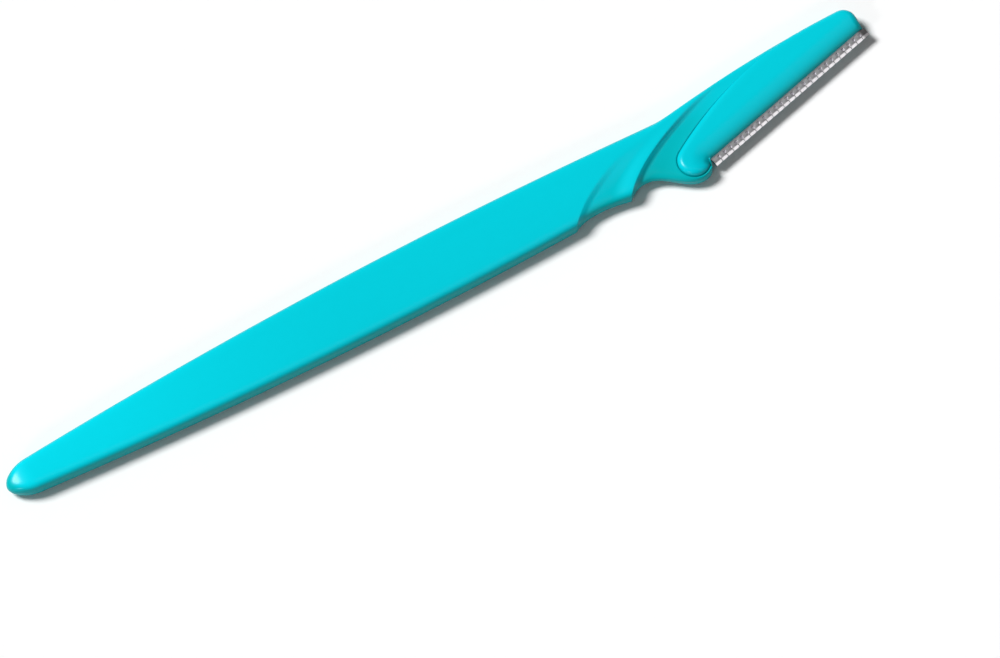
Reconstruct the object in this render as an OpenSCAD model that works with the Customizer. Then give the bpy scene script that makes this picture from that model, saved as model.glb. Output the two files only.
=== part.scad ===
// Eyebrow razor: a flat moulded handle whose head clamps a guarded steel blade.
// The handle lies along X with its tail at -X. Its back edge is at +Y and its blade edge at -Y.
// Z = 0 is the plane that the flat of the underside rests on, and the origin is at the middle of it.

/* [Grip] */
// Length from the tail to the first step of the neck
grip_l = 96; // [88:0.1:104]
// Width at the widest point
grip_w = 10.9; // [9.4:0.1:12.4]
// Distance from the tail to the widest point
grip_peak = 72.5; // [60:0.5:80]
// Thickness of the handle
body_h = 3.6; // [3.3:0.1:4.2]
// Width where the tail starts to round off
tail_w = 5.6; // [4:0.1:6.6]
// Length of the rounded tail
tail_l = 4.3; // [3:0.1:6]
// How far in from the outline the rounded edges reach
edge_r = 1.6; // [1.2:0.1:1.8]
// How square the rounded edges are, where 2 makes them elliptical
edge_square = 2.9; // [2:0.1:3.2]
// Rise of each broad face towards its middle
crown_h = 0.15; // [0.12:0.01:0.3]
// Depth to which the crown of the underside is cut flat
sole_cut = 0.1; // [0.06:0.01:0.11]

/* [Neck] */
// Length from the first step to the lowest point of the heel
neck_l = 21; // [19:0.1:25]
// Length of the scallop between the first step and the second
scallop_l = 9.7; // [8.5:0.1:11]
// Depth of the scallop
scallop_d = 0.83; // [0.4:0.01:1.1]
// From the middle line to the front edge at the first step
step_front = 5.1; // [4.7:0.1:5.4]
// From the middle line to the tip of the tooth at the second step
tooth_front = 4.75; // [4.4:0.05:5.2]
// From the middle line to the front edge at the notch behind the tooth
notch_front = 3.4; // [2.8:0.05:3.8]
// Length from the tooth to the top of the notch
notch_l = 3.1; // [2.4:0.1:4]
// From the middle line to the back edge at the waist
waist_back = 4.3; // [3.9:0.1:4.6]
// Drop of the face at the first step
step_1_drop = 0.3; // [0.15:0.05:0.5]
// Width of the wall at the first step
step_1_wall = 0.9; // [0.6:0.1:1.4]
// Drop of the face at the second step
step_2_drop = 0.9; // [0.5:0.05:1]
// Width of the wall at the second step
step_2_wall = 1.1; // [0.7:0.1:1.6]
// How far the first step leans towards the head on its way across
step_1_lean = 17.5; // [14:0.5:19]
// How far the second step leans towards the head on its way across
step_2_lean = 15; // [12:0.5:16]

/* [Head] */
// Length of the plastic edge along the blade
edge_l = 31.9; // [28:0.1:36]
// Slope of the blade against the handle
blade_tilt = 14; // [11:0.1:15]
// From the middle line to the heel end of the plastic edge
edge_front = 4.8; // [4.5:0.05:5.1]
// Length from the lowest point of the heel to the plastic edge
heel_l = 2.35; // [2:0.05:3]
// Drop of the heel below the end of the plastic edge
heel_drop = 2.35; // [2:0.05:2.8]
// Width of the tip
tip_w = 4.15; // [3.6:0.05:4.8]
// Radius of the tip's back corner
tip_r = 2.2; // [1.6:0.1:2.6]
// Radius of the head's back edge
back_r = 185; // [150:5:240]
// Rounding of the handle's edges along the blade and round the tip
head_edge_r = 0.8; // [0.5:0.1:1.1]

/* [Cover] */
// Radius of the cover's heel
cover_heel_r = 2.6; // [2.3:0.05:2.8]
// Rim of the handle left below the cover's heel
heel_rim = 0.58; // [0.4:0.02:0.8]
// From the tip to where the seam runs out into the back edge
seam_l = 8.5; // [6:0.5:11]
// How far in from its outline the cover's rounded edge reaches
cover_r = 1.5; // [1:0.1:1.7]
// Height of the upright wall at the cover's seam
cover_wall = 0.35; // [0.2:0.05:0.6]
// Gap between the cover and the handle round the seam
seam_gap = 0.08; // [0.04:0.01:0.15]

/* [Blade and guard] */
// Thickness of the blade
blade_t = 0.25; // [0.2:0.01:0.3]
// Width of the blade from its edge to its back
blade_w = 5; // [4.4:0.1:5.4]
// Width of the ground bevel
bevel_w = 0.6; // [0.3:0.05:0.9]
// Thickness of the guard's foil
guard_t = 0.15; // [0.1:0.01:0.18]
// How far the guard stands out from the plastic edge
guard_reach = 1.45; // [1.2:0.05:1.7]
// Diameter of the rounded fold of the guard
bead_d = 0.76; // [0.62:0.02:0.9]
// How far the guard's fold runs on past the tip
guard_past_tip = 0.2; // [0.1:0.05:0.8]
// Distance from one slot of the guard to the next
slot_pitch = 1.18; // [1.05:0.01:1.4]
// Width of a slot
slot_w = 0.55; // [0.4:0.01:0.65]
// Gap from the blade's edge to the inside of the fold
edge_gap = 0.18; // [0.1:0.01:0.3]
// Plastic left between the blade's end and the tip
tip_wall = 0.6; // [0.4:0.05:1]

/* [Posts] */
// Diameter of the posts that locate the blade
post_d = 1.6; // [1.2:0.05:2]
// Distance between the two posts
post_spacing = 16; // [12:0.5:19]
// Distance from the plastic edge to the posts
post_inset = 2.6; // [2.3:0.05:2.9]
// Height of the posts above the blade's seat
post_h = 1.3; // [1:0.05:1.5]
// Gap all round a post
post_gap = 0.05; // [0.03:0.01:0.08]

/* [Smoothness] */
// Steps round each rounded edge
edge_steps = 5; // [4:1:8]
// Steps across each broad face
face_steps = 6; // [5:1:10]
// Steps along each stretch of the outline
run_steps = 9; // [7:1:12]

/* [Hidden] */
plastic_colour = [0.02, 0.74, 0.8];
steel_colour = [0.78, 0.79, 0.81];
cut_past = body_h / 4;
mid_h = body_h / 2;
round_fn = 48;

// Shares that shape the neck, chosen by hand
nose_share = 0.12;
step_fade_shares = [[0.2, 0.85], [0.5, 1]];
after_step_share = 0.3;
lean_share = 0.3;
corner_lean_share = 0.2;
flank_lean_share = 0.16;
flank_drop_share = 0.58;
blend_share = 0.03;
edge_limit_share = 0.48;
back_wall_shares = [2, 3, 6, 7];
tooth_handle_shares = [0.22, 0.6];
notch_handle_share = 0.5;
heel_handle_shares = [0.41, 0.39];
flank_handle_shares = [0.55, 0.35];
seam_handle_share = 0.33;
seam_start_angle = 122;
seam_start_slope = 32;
seam_end_slope = 6;
tip_blunt_share = 0.3;
scallop_peak = 2 / (3 * sqrt(3));
scallop_start_share = 0.3;

// Places along the handle, measured from the tail
tooth_x = grip_l + scallop_l;
notch_x = tooth_x + notch_l;
heel_x = grip_l + neck_l;
corner = [heel_x + heel_l, -edge_front];
along = [cos(blade_tilt), sin(blade_tilt)];
across = [-along[1], along[0]];
tip = corner + edge_l * along;
back_y = tip[1] + tip_w;
tip_centre = [tip[0] - tip_r, back_y - tip_r];
heel_low = [heel_x, corner[1] - heel_drop];
flank = corner + [-flank_lean_share * heel_l, -flank_drop_share * heel_drop];
merge_x = tip[0] - seam_l;

// Heights of the seats in the head
pack_h = blade_t + 2 * guard_t;
bed_z = mid_h - pack_h / 2;
seam_z = mid_h + pack_h / 2;
blade_edge_y = -guard_reach + guard_t + edge_gap;
bed_depth = blade_edge_y + blade_w + post_gap;
post_places = [for (side = [-1, 1]) [edge_l / 2 + side * post_spacing / 2, post_inset]];

function smooth(t) = let (c = max(0, min(1, t))) c * c * (3 - 2 * c);
function wall(d, w) = sin(90 * max(0, min(1, d / w)));
function mix(a, b, t) = a + (b - a) * t;
function bezier(a, b, c, d, t) =
    pow(1 - t, 3) * a + 3 * t * pow(1 - t, 2) * b + 3 * t * t * (1 - t) * c + pow(t, 3) * d;
function bezier_run(a, b, c, d, n) = [for (i = [1 : n]) bezier(a, b, c, d, i / n)];
function head_point(p) = corner + p[0] * along + p[1] * across;

// Half width of the tapering grip on its tail side and towards the waist
function tail_half(x) =
    grip_w / 2 - (grip_w - tail_w) / 2 * pow((grip_peak - x) / (grip_peak - tail_l), 2);
function taper_half(x, end_x, end_half) =
    grip_w / 2 - (grip_w / 2 - end_half) * pow((x - grip_peak) / (end_x - grip_peak), 2);
function front_half(x) = x < grip_peak ? tail_half(x) : taper_half(x, grip_l, step_front);
function grip_back(x) = x < grip_peak ? tail_half(x) : taper_half(x, heel_x, waist_back);

// The back edge: the grip's taper, then the head's long arc, blended at the waist
function head_back(x) = back_y - pow(tip_centre[0] - x, 2) / (2 * back_r);
function back_edge(x) =
    let (a = grip_back(x), b = head_back(x), soft = blend_share * grip_w)
    x < grip_peak ? a : (a + b + sqrt(pow(a - b, 2) + soft * soft)) / 2;

// Rounded tail, from its blunt end to the full width of the tail
nose_angle = asin(nose_share);
tail_angles = [for (i = [0 : run_steps]) mix(nose_angle, 90, i / run_steps)];
tail_xs = [for (a = tail_angles) tail_l * (1 - cos(a) / cos(nose_angle))];
tail_front = [for (i = [0 : run_steps])
    [tail_xs[i], -tail_half(tail_xs[i]) * sin(tail_angles[i])]];

// Front edge from the tail to the tip, a run of points for each stretch
grip_front = [for (i = [1 : run_steps]) let (x = mix(tail_l, grip_peak, i / run_steps))
    [x, -front_half(x)]];
taper_front = [for (i = [1 : run_steps]) let (x = mix(grip_peak, grip_l, i / run_steps))
    [x, -front_half(x)]];
scallop_front = [for (i = [1 : run_steps])
    let (s = i / run_steps, u = s * (s + scallop_start_share) / (1 + scallop_start_share))
    [grip_l + scallop_l * u,
     -mix(step_front, tooth_front, u) + scallop_d * s * (1 - s * s) / scallop_peak]];
tooth = [tooth_x, -tooth_front];
notch = [notch_x, -notch_front];
notch_rise = notch[1] - tooth[1];
notch_front_run = bezier_run(
    tooth,
    tooth + [tooth_handle_shares[0] * notch_l, tooth_handle_shares[1] * notch_rise],
    notch - [notch_handle_share * notch_l, 0],
    notch, run_steps);
heel_span = heel_x - notch_x;
heel_front = bezier_run(
    notch,
    notch + [heel_handle_shares[0] * heel_span, 0],
    heel_low - [heel_handle_shares[1] * heel_span, 0],
    heel_low, run_steps);
flank_rise = flank[1] - heel_low[1];
flank_up = (corner - flank) / norm(corner - flank);
flank_front = bezier_run(
    heel_low,
    heel_low + [flank_handle_shares[0] * heel_l, 0],
    flank - flank_handle_shares[1] * flank_rise * flank_up,
    flank, edge_steps);
blade_front = [for (i = [0 : run_steps])
    corner + mix(0, edge_l - head_edge_r, i / run_steps) * along];
tip_front = [for (i = [1 : edge_steps])
    tip - head_edge_r * (1 - sin(90 * i / edge_steps)) * along];
front = concat(tail_front, grip_front, taper_front, scallop_front, notch_front_run,
    heel_front, flank_front, blade_front, tip_front);

// Where each of the front edge's stretches meets the back edge
last_of_grip = 2 * run_steps;
last_of_taper = last_of_grip + run_steps;
last_of_scallop = last_of_taper + run_steps;
last_of_heel = last_of_scallop + 2 * run_steps;
last_of_neck = last_of_heel + edge_steps;
last_of_blade = last_of_neck + run_steps + 1;
wall_1_stations = 3;
wall_2_stations = 4;
head_fade_stations = 3;
crest_1_x = grip_l + step_1_lean;
crest_2_x = tooth_x + step_2_lean;
back_map = [
    [last_of_grip, grip_peak],
    [last_of_taper, crest_1_x],
    [last_of_taper + wall_1_stations, crest_1_x + back_wall_shares[0] * step_1_wall],
    [last_of_scallop, crest_2_x],
    [last_of_scallop + wall_2_stations, crest_2_x + back_wall_shares[1] * step_2_wall],
    [last_of_heel, crest_2_x + back_wall_shares[2] * step_2_wall],
    [last_of_neck, crest_2_x + back_wall_shares[3] * step_2_wall],
    [last_of_blade, tip_centre[0]],
];
lean_map = [
    [last_of_scallop + wall_2_stations, lean_share],
    [last_of_heel, 0],
    [last_of_neck, 0],
    [last_of_neck + 1, corner_lean_share],
    [last_of_blade, 1],
];
function back_point(i) =
    i <= last_of_grip ? [front[i][0], -front[i][1]]
    : i > last_of_blade ? let (a = mix(90, 0, (i - last_of_blade) / edge_steps))
        tip_centre + tip_r * [cos(a), sin(a)]
    : let (x = lookup(i, back_map)) [x, back_edge(x)];
back = [for (i = [0 : len(front) - 1]) back_point(i)];

// Columns across a station: how far each is along the edge rounding, then along the face
edge_angles = [for (k = [1 : edge_steps]) 90 * k / edge_steps];
function edge_in(a) = 1 - pow(cos(a), 2 / edge_square);
function edge_up(a) = pow(sin(a), 2 / edge_square);
function edge_reach(i, w) =
    min(mix(edge_r, head_edge_r, smooth((i - last_of_neck) / head_fade_stations)),
        edge_limit_share * w);
function side_columns(i) =
    let (f = front[i], b = back[i], w = b[1] - f[1], near = edge_reach(i, w),
         far = min(edge_r, edge_limit_share * w))
    concat(
        [for (a = edge_angles) [near * edge_in(a) / w, edge_up(a)]],
        [for (m = [1 : face_steps - 1]) [mix(near / w, 1 - far / w, m / face_steps), 1]],
        [for (k = [edge_steps - 1 : -1 : 0])
            [1 - far * edge_in(edge_angles[k]) / w, edge_up(edge_angles[k])]]);

// Drops of the face: each is full just past its step and fades out towards the back edge
function fade(v, n) = 1 - smooth((v - step_fade_shares[n][0])
    / (step_fade_shares[n][1] - step_fade_shares[n][0]));
function first_drop(x) = step_1_drop * wall(x - grip_l, step_1_wall)
    * mix(1, after_step_share, smooth((x - grip_l) / scallop_l));
function second_drop(x) = step_2_drop * wall(x - tooth_x, step_2_wall);
function head_drop_share(i) = 1 - smooth((back[i][0] - corner[0]) / (merge_x - corner[0]));
function under_drop_share(x) = 1 - smooth((x - notch_x) / heel_span);
function drop(i, v, share) = first_drop(front[i][0]) * fade(v, 0) * share
    + second_drop(front[i][0]) * fade(v, 1) * share;

// Rounding of the tail and the tip in the side view
function end_share(i) =
    i <= run_steps ? sqrt(1 - pow(1 - min(1, mix(nose_share, 1, front[i][0] / tail_l)), 2))
    : i <= last_of_blade ? 1
    : let (t = sin(90 * (i - last_of_blade) / edge_steps))
        mix(sqrt(1 - t * t), 1, tip_blunt_share);

// One point of the skin: side is 1 on the upper face and -1 on the underside
function skin_point(i, column, side) =
    let (f = front[i], b = back[i], v = column[0],
         lean = lookup(i, lean_map),
         bulge = lean * v + (1 - lean) * v * v,
         x = mix(f[0], b[0], bulge), y = mix(f[1], b[1], v),
         crown = crown_h * pow(2 * v - 1, 2),
         share = side > 0 ? head_drop_share(i) : under_drop_share(f[0]),
         h = mid_h + (side > 0 ? 0 : sole_cut) - crown - drop(i, v, share))
    [x, y, mid_h + side * h * column[1] * end_share(i)];
function station(i) =
    let (columns = side_columns(i), n = len(columns))
    concat(
        [[front[i][0], front[i][1], mid_h]],
        [for (k = [0 : n - 1]) skin_point(i, columns[k], -1)],
        [[back[i][0], back[i][1], mid_h]],
        [for (k = [n - 1 : -1 : 0]) skin_point(i, columns[k], 1)]);

skin = [for (i = [0 : len(front) - 1]) station(i)];

// The origin is the middle of the whole razor's length and width
guard_end = head_point([edge_l + guard_past_tip, -guard_reach]);
heel_y = min([for (p = front) p[1]]);
top_y = max([for (p = back) p[1]]);
origin_x = guard_end[0] / 2;
origin_y = (heel_y + top_y) / 2;

// Skins a stack of closed rings of equal length, with a flat face on its first and last ring
module skinned(rings) {
    n = len(rings[0]);
    last = len(rings) - 1;
    polyhedron(
        points = [for (ring = rings) each ring],
        faces = concat(
            [for (r = [0 : last - 1], k = [0 : n - 1]) let (j = (k + 1) % n)
                each [[r * n + k, (r + 1) * n + k, r * n + j],
                      [r * n + j, (r + 1) * n + k, (r + 1) * n + j]]],
            [[for (k = [0 : n - 1]) k]],
            [[for (k = [n - 1 : -1 : 0]) last * n + k]]));
}

// Moves an outline inwards by d, or outwards where d is negative
function inset(outline, d) =
    let (n = len(outline))
    [for (i = [0 : n - 1])
        let (p = outline[i], q = outline[(i + n - 1) % n], r = outline[(i + 1) % n],
             u = (p - q) / norm(p - q), w = (r - p) / norm(r - p),
             nu = [-u[1], u[0]], nw = [-w[1], w[0]])
        p + d * (nu + nw) / (1 + nu * nw)];

// The cover's leaf: anticlockwise from its inner corner at the heel, along the blade to the tip,
// round the tip, back along the head's edge and the seam, and round the heel
cover_heel = [heel_x, heel_low[1] + heel_rim + cover_heel_r];
cover_right = corner[0] - flank_lean_share * heel_l;
cover_corner = [cover_right, corner[1] - (corner[0] - cover_right) * tan(blade_tilt)];
right_angle = acos((cover_right - cover_heel[0]) / cover_heel_r);
seam_start = cover_heel + cover_heel_r * [cos(seam_start_angle), sin(seam_start_angle)];
seam_end = [merge_x, back_edge(merge_x)];
seam_handle = seam_handle_share * norm(seam_end - seam_start);
seam_run = bezier_run(
    seam_end,
    seam_end - seam_handle * [cos(seam_end_slope), sin(seam_end_slope)],
    seam_start + seam_handle * [cos(seam_start_slope), sin(seam_start_slope)],
    seam_start, 2 * run_steps);
cover_outline = concat(
    [cover_corner, tip],
    [for (k = [0 : run_steps]) let (a = mix(0, 90, k / run_steps))
        tip_centre + tip_r * [cos(a), sin(a)]],
    [for (k = [1 : edge_steps]) let (x = mix(tip_centre[0], merge_x, k / edge_steps))
        [x, back_edge(x)]],
    seam_run,
    [for (k = [1 : 2 * run_steps])
        let (a = mix(seam_start_angle, 360 - right_angle, k / (2 * run_steps)))
        cover_heel + cover_heel_r * [cos(a), sin(a)]]);

module in_place() {
    translate([-origin_x, -origin_y, 0])
        children();
}

module in_head() {
    translate([corner[0], corner[1], 0])
        rotate([0, 0, blade_tilt])
            children();
}

module post_holes(d, z, h) {
    for (p = post_places)
        translate([p[0], p[1], z])
            cylinder(d = d, h = h, $fn = round_fn);
}

module handle() {
    color(plastic_colour)
        in_place() {
            difference() {
                skinned(skin);
                // Flat of the underside
                translate([-cut_past, -grip_w, -grip_w])
                    cube([tip[0] + grip_w, 2 * grip_w, grip_w]);
                // Recess for the cover
                translate([0, 0, seam_z])
                    linear_extrude(height = body_h)
                        polygon(inset(cover_outline, -seam_gap));
                // Bed for the blade and its guard
                in_head()
                    translate([0, -2 * guard_reach, bed_z])
                        cube([edge_l - tip_wall + seam_gap,
                              2 * guard_reach + bed_depth, body_h]);
            }
            in_head()
                post_holes(post_d, bed_z / 2, bed_z / 2 + post_h);
        }
}

module blade_cover() {
    rise = body_h - seam_z;
    color(plastic_colour)
        in_place()
            difference() {
                skinned(concat(
                    [[for (p = cover_outline) [p[0], p[1], seam_z]]],
                    [for (k = [0 : edge_steps]) let (a = 90 * k / edge_steps)
                        [for (p = inset(cover_outline, cover_r * edge_in(a)))
                            [p[0], p[1], seam_z + mix(cover_wall, rise, edge_up(a))]]]));
                in_head()
                    post_holes(post_d + 2 * post_gap, seam_z - cut_past,
                        post_h - pack_h + post_gap + cut_past);
            }
}

module blade() {
    color(steel_colour)
        in_place()
            in_head()
                difference() {
                    translate([seam_gap, 0, mid_h])
                        rotate([90, 0, 90])
                            linear_extrude(height = edge_l - tip_wall - seam_gap)
                                polygon([
                                    [blade_edge_y, 0],
                                    [blade_edge_y + bevel_w, -blade_t / 2],
                                    [blade_edge_y + blade_w, -blade_t / 2],
                                    [blade_edge_y + blade_w, blade_t / 2],
                                    [blade_edge_y + bevel_w, blade_t / 2],
                                ]);
                    post_holes(post_d + 2 * post_gap, bed_z - cut_past, body_h);
                }
}

// The guard's section: two flanges that end in a rounded fold, drawn with the plastic edge at zero
module guard_section(fold_r, flange_h) {
    centre_y = -guard_reach + bead_d / 2;
    translate([centre_y, 0])
        circle(r = fold_r, $fn = round_fn);
    translate([centre_y, -flange_h / 2])
        square([bed_depth - centre_y, flange_h]);
}

module edge_guard() {
    fold_l = edge_l + guard_past_tip;
    slots = floor((fold_l - slot_w) / slot_pitch);
    first = (fold_l - slots * slot_pitch) / 2 + slot_pitch / 2;
    cut_z = mid_h - bead_d;
    color(steel_colour)
        in_place()
            in_head()
                difference() {
                    translate([seam_gap, 0, mid_h])
                        rotate([90, 0, 90])
                            linear_extrude(height = fold_l - seam_gap)
                                difference() {
                                    guard_section(bead_d / 2, pack_h);
                                    guard_section(bead_d / 2 - guard_t, blade_t);
                                }
                    for (i = [0 : slots - 1])
                        translate([first + i * slot_pitch - slot_w / 2,
                                   -guard_reach - cut_past, cut_z])
                            cube([slot_w, guard_reach + cut_past - slot_w / 2, 2 * bead_d]);
                    // The flanges end at the wall of the tip
                    translate([edge_l - tip_wall, -seam_gap, cut_z])
                        cube([2 * guard_past_tip + tip_wall, bed_depth + cut_past, 2 * bead_d]);
                    post_holes(post_d + 2 * post_gap, cut_z, 2 * bead_d);
                }
}

handle();
blade_cover();
blade();
edge_guard();
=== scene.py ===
import math

import bmesh
import bpy
import numpy as np
from mathutils import Matrix, Vector
from mathutils.geometry import delaunay_2d_cdt


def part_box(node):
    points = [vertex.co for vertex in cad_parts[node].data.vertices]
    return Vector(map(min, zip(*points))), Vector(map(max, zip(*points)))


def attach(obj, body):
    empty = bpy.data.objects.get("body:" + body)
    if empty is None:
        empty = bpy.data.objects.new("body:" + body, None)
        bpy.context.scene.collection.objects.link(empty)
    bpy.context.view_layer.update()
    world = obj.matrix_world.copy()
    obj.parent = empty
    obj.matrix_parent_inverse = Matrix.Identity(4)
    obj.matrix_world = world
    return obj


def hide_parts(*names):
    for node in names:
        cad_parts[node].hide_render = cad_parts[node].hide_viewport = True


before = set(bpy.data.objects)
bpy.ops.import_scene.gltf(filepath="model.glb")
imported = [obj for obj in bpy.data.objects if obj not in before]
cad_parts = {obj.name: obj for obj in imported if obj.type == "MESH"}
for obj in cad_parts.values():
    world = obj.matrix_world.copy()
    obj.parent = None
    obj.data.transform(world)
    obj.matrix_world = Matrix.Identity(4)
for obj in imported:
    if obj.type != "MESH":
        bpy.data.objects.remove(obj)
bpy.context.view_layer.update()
scene = bpy.context.scene
scene.view_settings.view_transform = "Standard"
handleLow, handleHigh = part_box("handle")
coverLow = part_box("blade_cover")[0]
print("razor frame loaded, nodes:", ", ".join(sorted(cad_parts)))

# Camera
shot = dict(
    turn=math.radians(29.39),        # razor's length against the picture's width
    elevation=math.radians(66),
    distance=4.2,
    pixelsPerMetre=6603,
    aim=Vector((0.00234, -0.01353, 0.0018)),
    imageWidth=1000,
    sensorWidth=36,
    clipStart=0.1, clipEnd=40,
)


def lookDirection(s):
    # from the camera down to the razor
    away = Vector((math.sin(s["turn"]), math.cos(s["turn"]), 0))
    return away * math.cos(s["elevation"]) - Vector((0, 0, math.sin(s["elevation"])))


def addCamera(s):
    across = Vector((math.cos(s["turn"]), -math.sin(s["turn"]), 0))
    look = lookDirection(s)
    data = bpy.data.cameras.new("camera")
    data.sensor_width = s["sensorWidth"]
    data.lens = s["pixelsPerMetre"] * s["distance"] * s["sensorWidth"] / s["imageWidth"]
    data.clip_start, data.clip_end = s["clipStart"], s["clipEnd"]
    camera = bpy.data.objects.new("camera", data)
    scene.collection.objects.link(camera)
    turn = Matrix((across, across.cross(look), -look)).transposed().to_4x4()
    turn.translation = s["aim"] - look * s["distance"]
    camera.matrix_world = turn
    scene.camera = camera


addCamera(shot)
print("camera placed")

# Outline shared by the handle and the cover.
# Lengths are measured from the tail along the razor, and from its middle line across it.
shape = dict(
    gripLength=0.096, gripWidth=0.0109, gripPeak=0.0725, tailWidth=0.0056, tailLength=0.0043,
    noseShare=0.02, edgeReach=0.0016, square=2.9, crown=0.00015, soleCut=0.0001,
    neckLength=0.021, scallopLength=0.0097, scallopDepth=0.00083, stepFront=0.0051,
    toothFront=0.00475, notchFront=0.0034, notchLength=0.0031, waistBack=0.0043,
    firstDrop=0.0005, firstWall=0.0011, firstRunOut=0.0028, firstLean=0.0175,
    secondDrop=0.0013, secondWall=0.001, secondRunOut=0.0036, secondLean=0.0195,
    wallLead=0.1, runOutShare=0.32,                # a step's wall, and its share that runs out slowly
    firstAcross=(0.2, 0.85), secondAcross=(0.5, 1),   # where each step fades on its way to the back
    firstFade=(0.45, 1), firstLeft=0.12,           # how the first step fades before the second
    edgeLength=0.0319, tilt=math.radians(14), edgeFront=0.0048, heelLength=0.00235,
    heelDrop=0.00235, tipWidth=0.00415, tipRadius=0.0022, backRadius=0.185, headEdge=0.0008,
    coverHeelRadius=0.0026, heelRim=0.00058, seamLength=0.0085, seamGap=0.00008,
    seamStart=math.radians(122), seamSlopes=(math.radians(32), math.radians(6)),
    seamOpens=(0.4, 0.9),                          # where along the seam it opens towards the heel
    runSteps=9, cornerSteps=5,                     # steps along each stretch of the front edge
    afterFirst=0.0018, afterFirstSteps=3,          # places of the back edge past the first crest
    afterSecond=(0.0045, 0.009, 0.0104), afterSecondSteps=4,
    leans=(0.4, 0, 0, 0.2, 1),                     # 1 where a cross line is straight, 0 where it bows
    # chosen shares that shape the curves
    flankShares=(0.16, 0.58), waistBlend=0.03, scallopStart=0.3, edgeLimit=0.48, tipBlunt=0.3,
    toothPull=(0.22, 0.6), notchPull=0.5, heelPull=(0.41, 0.39), flankPull=(0.55, 0.35), seamPull=0.33,
)


class Sizes:
    # lets the sizes be read as names
    def __init__(self, values):
        self.__dict__.update(values)


def mix(a, b, t):
    return a + (b - a) * t


def smooth(t):
    t = np.clip(t, 0, 1)
    return t * t * (3 - 2 * t)


def fade(value, start, end):
    # 0 at the start and 1 at the end
    return smooth((value - start) / (end - start))


def point(x, y):
    return np.array((x, y))


def heading(angle):
    return point(math.cos(angle), math.sin(angle))


def bezier(a, b, c, d, t):
    return (1 - t) ** 3 * a + 3 * t * (1 - t) ** 2 * b + 3 * t * t * (1 - t) * c + t ** 3 * d


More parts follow.
